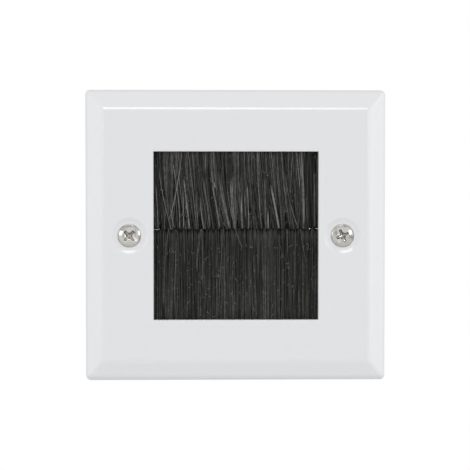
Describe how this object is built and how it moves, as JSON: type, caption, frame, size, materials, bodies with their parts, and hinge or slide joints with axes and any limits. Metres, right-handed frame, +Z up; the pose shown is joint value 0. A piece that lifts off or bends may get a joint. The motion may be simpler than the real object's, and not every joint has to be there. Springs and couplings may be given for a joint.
{
  "type": "brush wall plate",
  "caption": "Square white wall plate with a bevelled rim and a central opening closed by two facing rows of black bristles, so that cables pass through a wall behind it.",
  "frame": {"origin": "midway between the axes of the two fixing screws, on the plane of the wall that the rim of the plate lies on", "axes": "+X to the right as seen from the room, +Y into the wall, +Z up; the front of the plate faces -Y"},
  "size_m": [0.086, 0.0257, 0.0834],
  "materials": {
    "white_plastic": "smooth white moulded plastic",
    "channel_metal": "plain folded strip",
    "core_wire_steel": "drawn wire",
    "upper_nylon": "black nylon filament",
    "lower_nylon": "black nylon filament",
    "bar_steel": "zinc-plated strip",
    "retaining_screw_steel": "zinc-plated",
    "fixing_screw_plating": "nickel-plated"
  },
  "bodies": {
    "root": {"face_plate": "white_plastic", "upper_channel": "channel_metal", "lower_channel": "channel_metal", "upper_core_wire": "core_wire_steel", "lower_core_wire": "core_wire_steel", "upper_bristles": "upper_nylon", "lower_bristles": "lower_nylon", "upper_retaining_bar": "bar_steel", "lower_retaining_bar": "bar_steel", "retaining_screws": "retaining_screw_steel", "fixing_screws": "fixing_screw_plating"}
  },
  "joints": []
}
